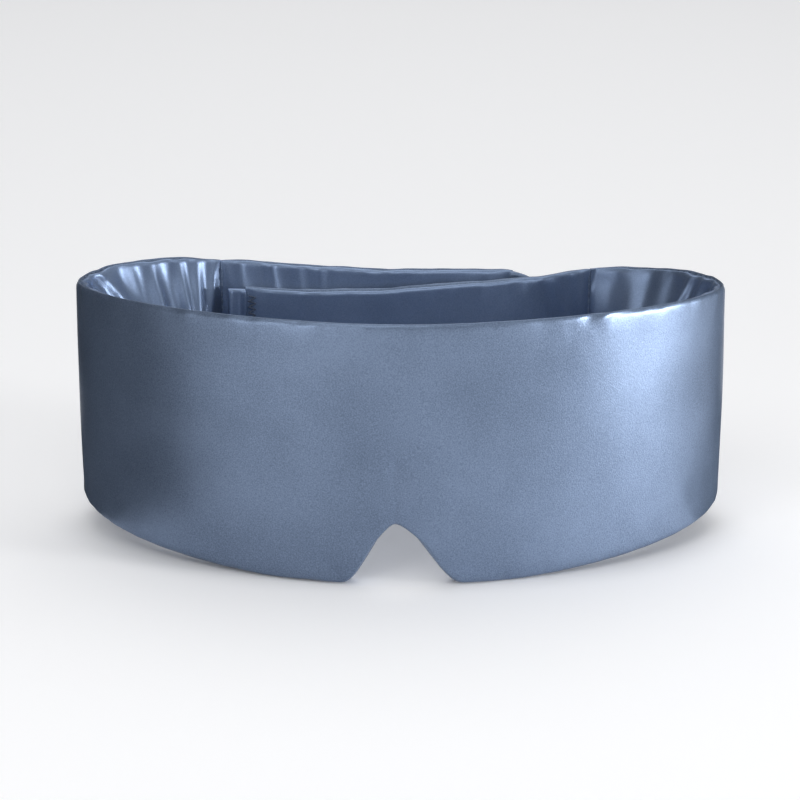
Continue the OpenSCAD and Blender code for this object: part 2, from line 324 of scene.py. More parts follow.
def ripple(s, seed, length):
    """A smooth wandering line from three waves, the same on every run."""
    random = np.random.default_rng(seed)
    total = 0
    for octave in (1, 1.7, 2.9):
        total = total + np.sin(2 * np.pi * s * octave / length + random.uniform(0, 6.3)) / octave
    return total / 2


def upper_edge(part, u):
    sine, cosine = np.sin(np.radians(u)), np.cos(np.radians(u))
    front = FRONT_HIGH - TEMPLE_DROP * ((np.abs(u + 90)) / 90) ** 2
    fall = np.abs(sine) ** np.where(cosine < 0, LEFT_FALL, RIGHT_FALL)
    back = FRONT_HIGH - TEMPLE_DROP - (BACK_DROP - TEMPLE_DROP) * fall
    wander = 0.27 * MM * ripple(u, 9, 19) * ease((np.abs(u + 90) - 88) / 18)
    edge = np.where(sine < 0, front, back) + wander
    if part == OUTER:
        edge = edge - END_CORNER * np.clip(1 - (u - OUTER_END) / 8, 0, 1) ** 2
    return edge - (INNER_DROP * ease((u - RIGHT_FOLD) / 75) if part == INNER else 0)


def inset(part, u):
    if part != INNER:
        return np.zeros_like(u)
    return INNER_INSET * ease((u - RIGHT_FOLD) / (INSET_FULL - RIGHT_FOLD))


# %% [markdown]
# Padding is thickest in the middle of a part and is pinched wherever it is sewn: down to
# almost nothing at the folds, flat at the free ends, and thin along the lower edge, most of
# all round the nose, where the seam has to bend.

# %% Thickness of the padding
CREASE_LIP = 0.5 * MM
END_LIP = 1.35 * MM
SETTLE = 20 * MM


def half_thick(part, u):
    right = np.abs(u - RIGHT_FOLD) * speed(RIGHT_FOLD)
    left_at = LEFT_FOLD - 360 if part == FRONT else LEFT_FOLD
    left = np.abs(u - left_at) * speed(LEFT_FOLD)
    folds = {FRONT: np.minimum(right, left), OUTER: left, INNER: right}[part]
    pinched = HALF_CREASE + (HALF[part] - HALF_CREASE) * ease(folds / SETTLE)
    t = soften(pinched, CREASE_LIP + 0.95 * folds, 0.25 * MM)
    if part == OUTER:
        t = END_LIP + (t - END_LIP) * ease((u - HEM_FROM + 0.3) * speed(OUTER_END) / (11 * MM))
    if part == INNER:
        t = END_LIP + (t - END_LIP) * ease((TAB_FROM + 0.3 - u) * speed(INNER_END) / (13 * MM))
    return t


EDGE_ROUND = {FRONT: 2.2 * MM, OUTER: 1.7 * MM, INNER: 1.6 * MM}
FOOT_SEAM = {FRONT: -0.12, OUTER: 0.0, INNER: 0.0}
RIM_SEAM = {FRONT: 0.70, OUTER: 0.45, INNER: 0.0}
RIM_SHARE = {FRONT: -0.36, OUTER: 0.1, INNER: 0.6}


def foot_share(part, u):
    """How thin the lining side of the lower edge is, as a share of half the thickness."""
    return 0.62 - 0.22 * (notch(u) / NOTCH_DEEP) ** 0.5 if part == FRONT else 0.75 + 0 * u


# %% [markdown]
# Each padded part begins as one flat grid, like cloth from the bolt. Its rows run once
# round the cross-section, from the lower seam up the outer face, over the top and down the
# lining, and its columns run along the loop. The seam rows dip into a groove, because both
# faces are turned in there, and they are what the cloth is held by later.

# %% Rows and columns of the cloth
ROUND_ROWS, FLAT_ROWS = 6, 24
GROOVE = 1.3 * MM
CORE_DROP = 8 * MM


def ring_rows(flat_rows=FLAT_ROWS, round_rows=ROUND_ROWS):
    """The rows of one cross-section: (corner, angle, share of the flat height)."""
    outer = [("foot", a, 0) for a in np.linspace(-82, 0, round_rows)]
    outer += [("flat", 0, h) for h in np.linspace(0, 1, flat_rows)[1:-1]]
    outer += [("top", a, 0) for a in np.linspace(0, 82, round_rows)]
    inner = [("top", a, 0) for a in np.linspace(98, 180, round_rows)]
    inner += [("flat", 180, h) for h in np.linspace(1, 0, flat_rows)[1:-1]]
    inner += [("foot", a, 0) for a in np.linspace(180, 262, round_rows)]
    return [("foot seam", -90, 0)] + outer + [("top seam", 90, 0)] + inner


def columns(*spans):
    """Places along the loop from spans of (from, to, distance between columns in mm)."""
    places = [np.array([spans[0][0]])]
    for start, stop, step in spans:
        length = np.linalg.norm(np.diff(middle(np.linspace(start, stop, 60)), axis=0), axis=1).sum()
        count = max(2, round(float(length) / (step * MM)))
        places.append(np.linspace(start, stop, count + 1)[1:])
    return np.concatenate(places)


def lining_at(part, u, z, t, lo, hi):
    """How far the lining lies inside the middle line at height z."""
    thin, rim = t * foot_share(part, u), RIM_SHARE[part] * t
    lined = thin + (t - thin) * ease((z - lo) / (15 * MM))
    return lined + (rim - t) * ease(1 - (hi - z) / (22 * MM))


def section(part, u, rows, shrink=0.0):
    """Distance outward and height for every row and column, smaller all round for a core."""
    full, low, high = half_thick(part, u), lower_edge(part, u), upper_edge(part, u)
    t, lo, hi = full - shrink, low + shrink, high - (shrink + CORE_DROP if shrink else 0)
    foot_round = np.minimum(EDGE_ROUND[part], 0.9 * t * foot_share(part, u))
    top_round = np.minimum(EDGE_ROUND[part], 0.9 * t)

    def lined(z):
        far = lining_at(part, u, z, full, low + foot_round, high - top_round) - shrink
        return np.maximum(far, (0.5 * MM if shrink else 0) - t)

    thin, rim = lined(lo), lined(hi - top_round)
    seam_at = FOOT_SEAM[part] * t
    rim_at = (t - rim) / 2 if shrink else RIM_SEAM[part] * t
    out, up = [], []
    for corner, angle, share in rows:
        c, s = math.cos(math.radians(angle)), math.sin(math.radians(angle))
        dip = GROOVE if "seam" in corner else 0
        if corner == "flat":
            z = lo + foot_round + (hi - top_round - lo - foot_round) * share
            out.append(t if c > 0 else -lined(z))
        elif corner.startswith("foot"):
            z = lo + foot_round * (1 + s) + dip
            squared = abs(c) ** 0.7
            out.append(seam_at + ((t - seam_at) if c > 0 else (-thin - seam_at)) * squared)
        else:
            z = hi - top_round * (1 - s) - dip
            squared = abs(c) ** 0.7
            out.append(rim_at + ((t - rim_at) if c > 0 else (-rim - rim_at)) * squared)
        up.append(z)
    return np.array(out), np.array(up)


# %% [markdown]
# Two tapes are sewn flat on the straps, face to face at the overlap. The cloth under a tape
# is kept flat by its stitches, so its place is settled before the straps are shaped.

# %% Where the tapes are sewn on
LOOP_LONG, LOOP_HIGH = 78 * MM, 42 * MM
HOOK_LONG, HOOK_HIGH = 58 * MM, 36 * MM
TAPE_REACH = 3 * MM
outer_cut = back_angle(48 * MM)
tape_middle = (outer_cut + 8 * MM / speed(outer_cut) + INNER_END - 12 * MM / speed(INNER_END)) / 2
tape_speed = speed(tape_middle)


def tape_centre(u):
    return (lower_edge(INNER, u) + upper_edge(INNER, u)) / 2


def under_tape(part, u, share, side):
    """1 where a strap's tape holds the cloth flat, 0 elsewhere, with a soft change."""
    long, high, taped = {OUTER: (LOOP_LONG, LOOP_HIGH, -1), INNER: (HOOK_LONG, HOOK_HIGH, 1)}[part]
    z = lower_edge(part, u) + (upper_edge(part, u) - lower_edge(part, u)) * share
    along = long / 2 + TAPE_REACH - np.abs(u - tape_middle) * tape_speed
    up = high / 2 + TAPE_REACH - np.abs(z - tape_centre(u))
    return ease(along / TAPE_REACH) * ease(up / TAPE_REACH) * (side == taped)


# %% [markdown]
# A grid primitive is added and its corners are moved to their places in one go. The UV map
# keeps real metres, along and round the cloth, so that a weave drawn on it has its true
# size everywhere.

# %% From grid to form
def clear_selection():
    if bpy.context.object and bpy.context.object.mode != "OBJECT":
        bpy.ops.object.mode_set(mode="OBJECT")
    bpy.ops.object.select_all(action="DESELECT")


def work_on(obj):
    clear_selection()
    obj.select_set(True)
    bpy.context.view_layer.objects.active = obj


def grid_mesh(name, points, uv=None):
    """A grid primitive whose corners are moved to points, an array of rows by columns."""
    clear_selection()
    row_count, column_count = points.shape[:2]
    bpy.ops.mesh.primitive_grid_add(
        x_subdivisions=column_count - 1, y_subdivisions=row_count - 1, size=1
    )
    obj = bpy.context.object
    obj.name = name
    obj.data.name = name
    obj.data.vertices.foreach_set("co", points.reshape(-1).astype(np.float32))
    if uv is not None:
        corner_vertex = np.zeros(len(obj.data.loops), dtype=np.int32)
        obj.data.loops.foreach_get("vertex_index", corner_vertex)
        layer = obj.data.uv_layers.active
        layer.name = "cloth"
        layer.uv.foreach_set("vector", uv.reshape(-1, 2)[corner_vertex].reshape(-1))
    obj.data.update()
    return obj


def place(part, u, n, z):
    """Points at a distance n outward of a part's own middle line, at height z."""
    shift = n - inset(part, u)
    flat = middle(u) + shift[..., None] * outward(u)
    return np.concatenate([flat, z[..., None]], -1)


def close_up(obj, caps=True):
    """Merge the seam of a rolled-up grid, cap its ends and turn every face outward."""
    work_on(obj)
    bpy.ops.object.mode_set(mode="EDIT")
    bpy.ops.mesh.select_all(action="SELECT")
    bpy.ops.mesh.remove_doubles(threshold=0.000005)
    if caps:
        bpy.ops.mesh.select_mode(type="EDGE")
        bpy.ops.mesh.select_all(action="DESELECT")
        bpy.ops.mesh.select_non_manifold()
        bpy.ops.mesh.edge_face_add()
        bpy.ops.mesh.select_mode(type="VERT")
    bpy.ops.mesh.select_all(action="SELECT")
    bpy.ops.mesh.normals_make_consistent(inside=False)
    bpy.ops.object.mode_set(mode="OBJECT")
    return obj


def finish_with(obj, kind, **settings):
    """Add one modifier, give it its settings and apply it."""
    modifier = obj.modifiers.new(kind.lower(), kind)
    for key, value in settings.items():
        setattr(modifier, key, value)
    work_on(obj)
    bpy.ops.object.modifier_apply(modifier=modifier.name)
    return obj


def rounder(obj):
    return finish_with(obj, "SUBSURF", levels=1, render_levels=1)


def smooth(obj):
    work_on(obj)
    bpy.ops.object.shade_smooth()
    return obj


def padded_form(name, part, u, shape, rows=None, shrink=0.0):
    """A closed padded band. shape(u, height share, side) gives metres outward or inward."""
    rows = rows or ring_rows()
    n, z = section(part, u, rows, shrink)
    lo, hi = lower_edge(part, u), upper_edge(part, u)
    top = [c for c, _, _ in rows].index("top seam")
    side = np.where(np.arange(len(rows)) < top, 1.0, -1.0)[:, None]
    held_rows = {0, top, len(rows)}
    free = np.array([0.0 if r in held_rows else 1.0 for r in range(len(rows))])[:, None]
    wide, share = u[None, :] + 0 * z, (z - lo) / (hi - lo)
    taped = np.zeros(z.shape) if part == FRONT or shrink else under_tape(part, wide, share, side)
    n = n + free * (1 - taped) * shape(wide, share, side)
    points = place(part, wide, n, z)
    points = np.concatenate([points, points[:1]], 0)
    middle_row = points[len(rows) // 4]
    run = np.concatenate([[0], np.cumsum(np.linalg.norm(np.diff(middle_row, axis=0), axis=1))])
    steps = np.linalg.norm(np.diff(points, axis=0), axis=2).mean(1)
    climb = np.concatenate([[0], np.cumsum(steps)])
    uv = np.stack(np.broadcast_arrays(run[None, :], climb[:, None]), -1)
    obj = grid_mesh(name, points, uv)
    column_count = len(u)
    row_of_face = np.repeat(np.arange(len(rows)), column_count - 1)
    face_side = obj.data.attributes.new("outer_side", "INT", "FACE")
    face_side.data.foreach_set("value", (row_of_face < top).astype(np.int32))
    held = obj.vertex_groups.new(name="held")
    pins = [r * column_count + c for r in range(len(rows) + 1) for c in range(column_count)
            if r in held_rows or c in (0, 1, column_count - 2, column_count - 1)
            or taped[r % len(rows), c] > 0.5]
    held.add(pins, 1.0, "REPLACE")
    close_up(obj)
    obj["run"] = float(run[-1])
    print(name, "vertices", len(obj.data.vertices), "length mm", round(run[-1] / MM, 1))
    return obj


# %% [markdown]
# The cover is sewn a little loose, so it wrinkles where the padding is pinched or bent. A
# few waves with fixed seeds give the wandering of hand-sewn cloth, the same on every run.

# %% Ridges and folds
def ridge(u, line, wide):
    """A rounded ridge of height one that runs along a line of angles."""
    return np.exp(-(np.abs(u - line) / wide) ** 1.8)


# Each fold: angle at the top, angle 20 mm lower, height in mm, half width in degrees
LEFT_FOLDS = [
    (-231.2, -229.0, 1.6, 1.1), (-226.4, -225.8, 2.2, 1.5), (-221.8, -222.4, 2.4, 1.6),
    (-214.0, -214.8, 2.4, 2.1), (-206.0, -209.5, 0.6, 3.2), (-193, -206, 3.0, 2.7),
    (-184, -198, 2.0, 2.4), (-174, -185, 2.8, 2.6), (-163, -170, 2.0, 2.6),
    (-151, -156, 1.6, 2.6), (-139, -142, 1.1, 2.6),
]
RIGHT_FOLDS = [
    (19.5, 24.5, 2.7, 1.5), (12, 18.5, 2.2, 1.5), (4, 10, 1.8, 1.8), (-5, -1, 2.0, 2.4),
    (-16, -12, 1.8, 2.6), (-28, -25, 1.4, 2.6), (31, 32, 0.6, 3.6), (40, 39, 0.8, 3.4),
]
FOLD_STEP = 0.22


def front_shape(u, share, side):
    down = 1 - share
    fold = 0
    for top, below, high, wide in LEFT_FOLDS + RIGHT_FOLDS:
        line = top + (below - top) * np.minimum(down, 0.8) / FOLD_STEP
        fade = (0.5 + 0.5 * ease(down / 0.1)) * (1 - 0.6 * ease((down - 0.45) / 0.5))
        fold = fold + high * MM * ridge(u, line, wide) * fade
    belly = 0.5 * MM * np.sin(np.pi * np.clip(share, 0, 1))
    soft = 0.3 * MM * ripple(u, 3, 70) * ripple(share, 4, 1.3)
    near_top = ease((share - 0.84) / 0.13)
    pucker = 0.2 * MM * ripple(u, 5, 8.5) * near_top
    tuck_line = -51.5 + (share - 0.93) * 60
    tuck = 0.5 * MM * (ridge(u, tuck_line, 1.3) - ridge(u, tuck_line - 3, 1.2)) * near_top
    near_foot = ease((0.1 - share) / 0.08)
    foot = 0.15 * MM * ripple(u, 8, 7) * near_foot
    nose_pinch = -0.9 * MM * ridge(u, -90, 1.6) * ease((0.36 - share) / 0.06)
    outer = belly + soft + pucker + tuck + foot + nose_pinch
    inner = -fold - 0.6 * belly - 0.3 * MM * ripple(u, 6, 24) - foot
    return np.where(side < 0, inner, outer)


def strap_shape(ridges, seed):
    def shape(u, share, side):
        down = 1 - share
        fold = 0
        for top, below, high, wide in ridges:
            line = top + (below - top) * down / FOLD_STEP
            fold = fold + high * MM * ridge(u, line, wide) * (1 - 0.5 * ease(down))
        belly = 0.3 * MM * np.sin(np.pi * np.clip(share, 0, 1))
        soft = 0.35 * MM * ripple(u, seed, 21) * ripple(share, seed + 1, 1.6)
        edge = ease((np.abs(share - 0.5) - 0.34) / 0.12)
        pucker = 0.18 * MM * ripple(u, seed + 2, 6.5) * edge
        outer = belly + soft + pucker + 0.3 * fold
        return np.where(side < 0, -belly - 0.7 * soft - pucker - fold, outer)

    return shape


# %% [markdown]
# The cloth simulation fills each cover as the padding does. The seam rows are pinned, a
# pressure from inside pushes the free cloth out, and the folds round off against their own
# stiffness. A limit on how far any point may travel keeps the mask to its size, and the
# result becomes the mesh, so no simulation is left on the piece.

# %% Filling the covers
FRAMES = 20


def coordinates(obj):
    flat = np.zeros(len(obj.data.vertices) * 3, dtype=np.float32)
    obj.data.vertices.foreach_get("co", flat)
    return flat.reshape(-1, 3).astype(float)


def fill_cover(form, outer_limit, inner_limit):
    """Inflate a cover with its seams held, and keep each point within its limit."""
    start = coordinates(form)
    cloth = form.modifiers.new("cloth", "CLOTH")
    cloth.settings.quality = 4
    cloth.settings.tension_stiffness = 14
    cloth.settings.compression_stiffness = 10
    cloth.settings.shear_stiffness = 5
    cloth.settings.bending_stiffness = 0.3
    cloth.settings.vertex_group_mass = "held"
    cloth.settings.use_pressure = True
    cloth.settings.uniform_pressure_force = 4
    cloth.settings.effector_weights.gravity = 0
    cloth.collision_settings.use_collision = False
    cloth.collision_settings.use_self_collision = False
    cloth.point_cache.frame_start, cloth.point_cache.frame_end = 1, FRAMES
    for number in range(1, FRAMES + 1):
        scene.frame_set(number)
    settled = form.evaluated_get(bpy.context.evaluated_depsgraph_get())
    move = coordinates(settled) - start
    form.modifiers.remove(cloth)
    scene.frame_set(1)
    travel = np.linalg.norm(move, axis=1)
    centre_way = start[:, :2] - np.array([0, TEMPLE_Y])
    outward_move = (move[:, :2] * centre_way).sum(1) > 0
    limit = np.where(outward_move, outer_limit, inner_limit)
    move *= (limit * np.tanh(travel / limit) / np.maximum(travel, 1e-9))[:, None]
    form.data.vertices.foreach_set("co", (start + move).reshape(-1).astype(np.float32))
    form.data.update()
    print(form.name, "moved mm: mean", round(travel.mean() / MM, 2), "most", round(travel.max() / MM, 2))
    return form


# %% [markdown]
# After filling, a form is rounded once and taken apart along its seams, so that the outer
# face and the lining are cloth pieces of their own, each with a real thickness.

# %% Taking a form apart at its seams
CLOTH_THICK = 0.4 * MM


def take_apart(form, outer_name, lining_name):
    rounder(form)
    flags = np.zeros(len(form.data.polygons), dtype=np.int32)
    form.data.attributes["outer_side"].data.foreach_get("value", flags)
    work_on(form)
    bpy.ops.object.mode_set(mode="EDIT")
    bpy.ops.mesh.select_mode(type="FACE")
    bpy.ops.mesh.select_all(action="DESELECT")
    bpy.ops.object.mode_set(mode="OBJECT")
    form.data.polygons.foreach_set("select", flags.astype(bool))
    bpy.ops.object.mode_set(mode="EDIT")
    bpy.ops.mesh.separate(type="SELECTED")
    bpy.ops.mesh.select_mode(type="VERT")
    bpy.ops.object.mode_set(mode="OBJECT")
    outer = [o for o in bpy.context.selected_objects if o is not form][0]
    for piece, name in ((outer, outer_name), (form, lining_name)):
        piece.name = name
        piece.data.name = name
        finish_with(piece, "SOLIDIFY", thickness=CLOTH_THICK, offset=-1.0)
        smooth(piece)
        piece.vertex_groups.clear()
        print(name, "faces", len(piece.data.polygons))
    return outer, form


def cloth_area(obj):
    """Area of one side of a cloth piece."""
    sizes = np.zeros(len(obj.data.polygons))
    obj.data.polygons.foreach_get("area", sizes)
    return float(sizes.sum() / 2)


# %% [markdown]
# Satin is a weave of long floats: it is dark where it looks away from the light and bright
# along soft bands where it faces it. A metallic share gives the tinted reflection of the
# yarn, a middling roughness spreads it, and a fine grain of threads breaks it up. The grain
# is one node group that every cloth here uses with its own values.

# %% Shared grain group
def group_socket(tree, name, kind, way, value=None):
    item = tree.interface.new_socket(name=name, in_out=way, socket_type=kind)
    if value is not None:
        item.default_value = value
    return item


def thread_grain_group():
    tree = bpy.data.node_groups.new("thread_grain", "ShaderNodeTree")
    group_socket(tree, "Light Colour", "NodeSocketColor", "INPUT", (0.5, 0.5, 0.5, 1))
    group_socket(tree, "Dark Colour", "NodeSocketColor", "INPUT", (0.2, 0.2, 0.2, 1))
    group_socket(tree, "Scale", "NodeSocketFloat", "INPUT", 900.0)
    group_socket(tree, "Patches", "NodeSocketFloat", "INPUT", 25.0)
    group_socket(tree, "Colour", "NodeSocketColor", "OUTPUT")
    group_socket(tree, "Height", "NodeSocketFloat", "OUTPUT")
    group_socket(tree, "Gloss", "NodeSocketFloat", "OUTPUT")
    link = tree.links.new
    entry, leave = tree.nodes.new("NodeGroupInput"), tree.nodes.new("NodeGroupOutput")
    place_in, grain, soft = (add_node(tree, kind) for kind in ("TexCoord", "TexNoise", "TexNoise"))
    mix = add_node(tree, "Mix", data_type="RGBA")
    blend = add_node(tree, "Math", operation="MULTIPLY_ADD")
    half = add_node(tree, "Math", operation="MULTIPLY")
    grain.inputs["Detail"].default_value = 2.0
    soft.inputs["Detail"].default_value = 3.0
    link(place_in.outputs["Object"], grain.inputs["Vector"])
    link(place_in.outputs["Object"], soft.inputs["Vector"])
    link(entry.outputs["Scale"], grain.inputs["Scale"])
    link(entry.outputs["Patches"], soft.inputs["Scale"])
    blend.inputs[1].default_value = 0.55
    link(grain.outputs["Fac"], blend.inputs[0])
    half.inputs[1].default_value = 0.45
    link(soft.outputs["Fac"], half.inputs[0])
    link(half.outputs[0], blend.inputs[2])
    spread = map_range(tree, from_min=0.32, from_max=0.68)
    link(blend.outputs[0], spread.inputs["Value"])
    link(spread.outputs[0], mix.inputs["Factor"])
    link(entry.outputs["Dark Colour"], mix.inputs["A"])
    link(entry.outputs["Light Colour"], mix.inputs["B"])
    link(mix.outputs["Result"], leave.inputs["Colour"])
    link(grain.outputs["Fac"], leave.inputs["Height"])
    link(soft.outputs["Fac"], leave.inputs["Gloss"])
    return tree


thread_grain = thread_grain_group()


ROUGH_SWING = 0.06


def cloth_material(name, light, dark, scale, patches, rough, bump, metallic=0.0, sheen=0.0):
    material, tree, shader = new_material(name)
    link = tree.links.new
    group = add_node(tree, "Group", node_tree=thread_grain)
    values = {"Light Colour": (*light, 1), "Dark Colour": (*dark, 1), "Scale": scale, "Patches": patches}
    for key, value in values.items():
        group.inputs[key].default_value = value
    link(group.outputs["Colour"], shader.inputs["Base Color"])
    swing = map_range(tree, to_min=rough - ROUGH_SWING, to_max=rough + ROUGH_SWING)
    link(group.outputs["Gloss"], swing.inputs["Value"])
    link(swing.outputs[0], shader.inputs["Roughness"])
    relief = add_node(tree, "Bump")
    relief.inputs["Strength"].default_value = bump
    relief.inputs["Distance"].default_value = 0.12 * MM
    link(group.outputs["Height"], relief.inputs["Height"])
    link(relief.outputs["Normal"], shader.inputs["Normal"])
    shader.inputs["Metallic"].default_value = metallic
    shader.inputs["Sheen Weight"].default_value = sheen
    return material


satin = cloth_material("satin_weave", (0.203, 0.270, 0.395), (0.102, 0.141, 0.216), 2100, 22,
                       rough=0.38, bump=0.5, metallic=0.66)
lining_satin = cloth_material("satin_lining_weave", (0.27, 0.355, 0.525), (0.19, 0.26, 0.40),
                              2100, 30, rough=0.40, bump=0.15, metallic=0.75)
wadding = cloth_material("wadding_fibre", (0.86, 0.86, 0.83), (0.7, 0.7, 0.68), 420, 60,
                         rough=0.95, bump=0.9, sheen=0.3)
blackout = cloth_material("blackout_cloth", (0.02, 0.02, 0.024), (0.008, 0.008, 0.01), 900, 40,
                          rough=0.8, bump=0.4)
pile = cloth_material("loop_pile", (0.045, 0.07, 0.13), (0.02, 0.032, 0.065), 1100, 120,
                      rough=0.95, bump=1.0, sheen=0.6)
hook_nylon = cloth_material("hook_nylon", (0.05, 0.075, 0.13), (0.03, 0.045, 0.085), 1300, 90,
                            rough=0.42, bump=0.3)
thread = cloth_material("sewing_thread", (0.17, 0.24, 0.37), (0.08, 0.115, 0.19), 2600, 150,
                        rough=0.45, bump=0.6, metallic=0.2, sheen=0.2)
print("materials", len(bpy.data.materials))


def dress(obj, material, slot, body, *stands_for):
    """Give a finished piece its material and body, and hide the CAD nodes it stands for. slot is not
    used.
    """
    obj.data.materials.clear()
    obj.data.materials.append(material)
    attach(obj, body)
    if stands_for:
        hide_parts(*stands_for)
    return obj


# %% [markdown]
# The front band. Its columns are close together at the folds, the nose and the temples,
# where the cloth bends most, and wide apart on the smooth face.

# %% Front shell and lining
LIP = 0.28
front_columns = columns(
    (LEFT_FOLD - 360 - LIP, LEFT_FOLD - 357.6, 0.5), (LEFT_FOLD - 357.6, -150, 1.05),
    (-150, -112, 2.1), (-112, -68, 1.15), (-68, -22, 2.1), (-22, RIGHT_FOLD - 2.4, 1.25),
    (RIGHT_FOLD - 2.4, RIGHT_FOLD + LIP, 0.5),
)
front_form = padded_form("front_form", FRONT, front_columns, front_shape)
fill_cover(front_form, 0.8 * MM, 1.6 * MM)
front_run = front_form["run"]
front_shell, front_lining = take_apart(front_form, "front_satin_shell", "front_satin_lining")
dress(front_shell, satin, "satin", "mask_front", "front_shell")
dress(front_lining, lining_satin, "satin_lining", "mask_front", "front_lining")
print("front shell cm2", round(cloth_area(front_shell) * 1e4),
      "lining", round(cloth_area(front_lining) * 1e4))

# %% [markdown]
# The back straps are smaller covers of the same kind. The outer one starts at the left
# fold and ends in a flat hem, and the inner one starts at the right fold and ends in a tab.

# %% Strap faces
OUTER_RIDGES = [
    (116.6, 115.6, 1.0, 1.1), (111.2, 110.4, 0.9, 1.0), (106.8, 106.2, 0.8, 0.9),
    (123.6, 122.4, 0.9, 1.4), (95, 94, 0.5, 1.6), (85, 85, 0.5, 1.8),
]
INNER_RIDGES = [
    (55.2, 54.6, 1.0, 1.2), (60.5, 58.5, 1.1, 1.5), (68, 66, 0.6, 2.2), (110, 111, 0.4, 2.0),
]
outer_columns = columns((HEM_FROM, LEFT_FOLD - 2, 1.3), (LEFT_FOLD - 2, LEFT_FOLD + LIP, 0.5))
inner_columns = columns((RIGHT_FOLD - LIP, RIGHT_FOLD + 2, 0.5), (RIGHT_FOLD + 2, TAB_FROM, 1.3))
outer_form = padded_form("outer_form", OUTER, outer_columns, strap_shape(OUTER_RIDGES, 21))
fill_cover(outer_form, 0.5 * MM, 0.6 * MM)
inner_form = padded_form("inner_form", INNER, inner_columns, strap_shape(INNER_RIDGES, 31))
fill_cover(inner_form, 0.5 * MM, 0.6 * MM)
outer_run, inner_run = outer_form["run"], inner_form["run"]
outer_face, outer_back = take_apart(outer_form, "left_strap_satin_outside", "left_strap_satin_inside")
inner_back, inner_face = take_apart(inner_form, "right_strap_satin_outside", "right_strap_satin_inside")
dress(outer_face, satin, "satin", "left_strap", "left_strap_outer_face")
dress(outer_back, lining_satin, "satin_lining", "left_strap", "left_strap_inner_face")
dress(inner_back, satin, "satin", "right_strap", "right_strap_outer_face")
dress(inner_face, lining_satin, "satin_lining", "right_strap", "right_strap_inner_face")

# %% [markdown]
# Inside the covers lie the wadding cores, and inside the front a dark blackout layer under
# the lining. They never show, but they are what the mask is made of, so they are modelled
# as simpler padded forms a little smaller than their covers.

# %% Wadding and blackout layer
SHRINK = 1.9 * MM
CORE_FLAT_ROWS, CORE_ROUND_ROWS = 14, 4


def still(u, share, side):
    return 0.12 * MM * ripple(u, 41, 5) * ripple(share, 42, 0.2) * side


def wadding_core(name, part, u, body, node):
    rows = ring_rows(CORE_FLAT_ROWS, CORE_ROUND_ROWS)
    core = padded_form(name, part, u, still, rows, SHRINK)
    smooth(rounder(core))
    core.vertex_groups.clear()
    dress(core, wadding, "wadding", body, node)
    return core


front_core = wadding_core("front_wadding", FRONT, columns(
    (LEFT_FOLD - 356.5, -112, 4), (-112, -68, 2.2), (-68, RIGHT_FOLD - 3.5, 4)),
    "mask_front", "front_padding")
outer_core = wadding_core("left_strap_wadding", OUTER, columns((HEM_FROM + 3.2, LEFT_FOLD - 3.5, 4)),
                          "left_strap", "left_strap_padding")
inner_core = wadding_core("right_strap_wadding", INNER, columns((RIGHT_FOLD + 3.5, TAB_FROM - 4.2, 4)),
                          "right_strap", "right_strap_padding")

blackout_u = columns((LEFT_FOLD - 355, -112, 3), (-112, -68, 1.8), (-68, RIGHT_FOLD - 5, 3))
blackout_rows = np.linspace(0, 1, 30)[:, None]
low_line = lower_edge(FRONT, blackout_u) + 5 * MM
high_line = upper_edge(FRONT, blackout_u) - 7 * MM
blackout_z = low_line + (high_line - low_line) * blackout_rows
blackout_t = half_thick(FRONT, blackout_u)
blackout_lined = lining_at(FRONT, blackout_u, blackout_z, blackout_t,
                           low_line - 3 * MM, high_line + 5 * MM)
blackout_n = -(blackout_lined - 1.6 * MM)
blackout_wide = blackout_u[None, :] + 0 * blackout_z
blackout_points = place(FRONT, blackout_wide, blackout_n, blackout_z)
blackout_sheet = grid_mesh("front_blackout_sheet", blackout_points)
finish_with(blackout_sheet, "SOLIDIFY", thickness=0.35 * MM, offset=0.0)
smooth(blackout_sheet)
dress(blackout_sheet, blackout, "blackout", "mask_front", "front_blackout_layer")
print("blackout cm2", round(cloth_area(blackout_sheet) * 1e4))

# %% [markdown]
# Running stitches hold every seam. One stitch is a small sphere stretched along the thread,
# copied along its line, each copy turned to follow it. They lie in the groove, so only a
# row of tiny bright points shows, as on a turned and sewn edge.

# %% Stitch rows
THREAD_RADIUS = 0.3 * MM


def one_stitch():
    clear_selection()
    bpy.ops.mesh.primitive_uv_sphere_add(segments=8, ring_count=6, radius=1)
    obj = bpy.context.object
    obj.name = "one_stitch"
    return obj


def stitch_row(name, points, pitch=3.0 * MM, long=2.1 * MM, radius=THREAD_RADIUS, lean=0.0):
    """Copies of one stitch along a line of points. lean tips each one across the line."""
    seed = one_stitch()
    base = coordinates(seed)
    steps = np.linalg.norm(np.diff(points, axis=0), axis=1)
    run = np.concatenate([[0], np.cumsum(steps)])
    count = int(run[-1] // pitch)
    at = (np.arange(count) + 0.5) * run[-1] / count
    centre = np.stack([np.interp(at, run, points[:, k]) for k in range(3)], -1)
    ahead = np.stack([np.interp(at + long / 2, run, points[:, k]) for k in range(3)], -1)
    copies = []
    for c, a in zip(centre, ahead):
        copy = seed.copy()
        copy.data = seed.data.copy()
        bpy.context.collection.objects.link(copy)
        way = Vector(a - c)
        if way.length < 1e-7:
            way = Vector((1, 0, 0))
        turn = np.array(way.to_track_quat("X", "Z").to_matrix())
        tip = np.array([[1, 0, 0], [0, 1, 0], [math.sin(lean), 0, math.cos(lean)]])
        body = base * np.array([long / 2, radius, radius]) @ tip
        copy.data.vertices.foreach_set("co", (body @ turn.T + c).reshape(-1).astype(np.float32))
        copies.append(copy)
    bpy.data.objects.remove(seed)
    clear_selection()
    for copy in copies:
        copy.select_set(True)
    bpy.context.view_layer.objects.active = copies[0]
    bpy.ops.object.join()
    row = bpy.context.object
    row.name = name
    row.data.name = name
    smooth(row)
    print(name, "stitches", count)
    return row


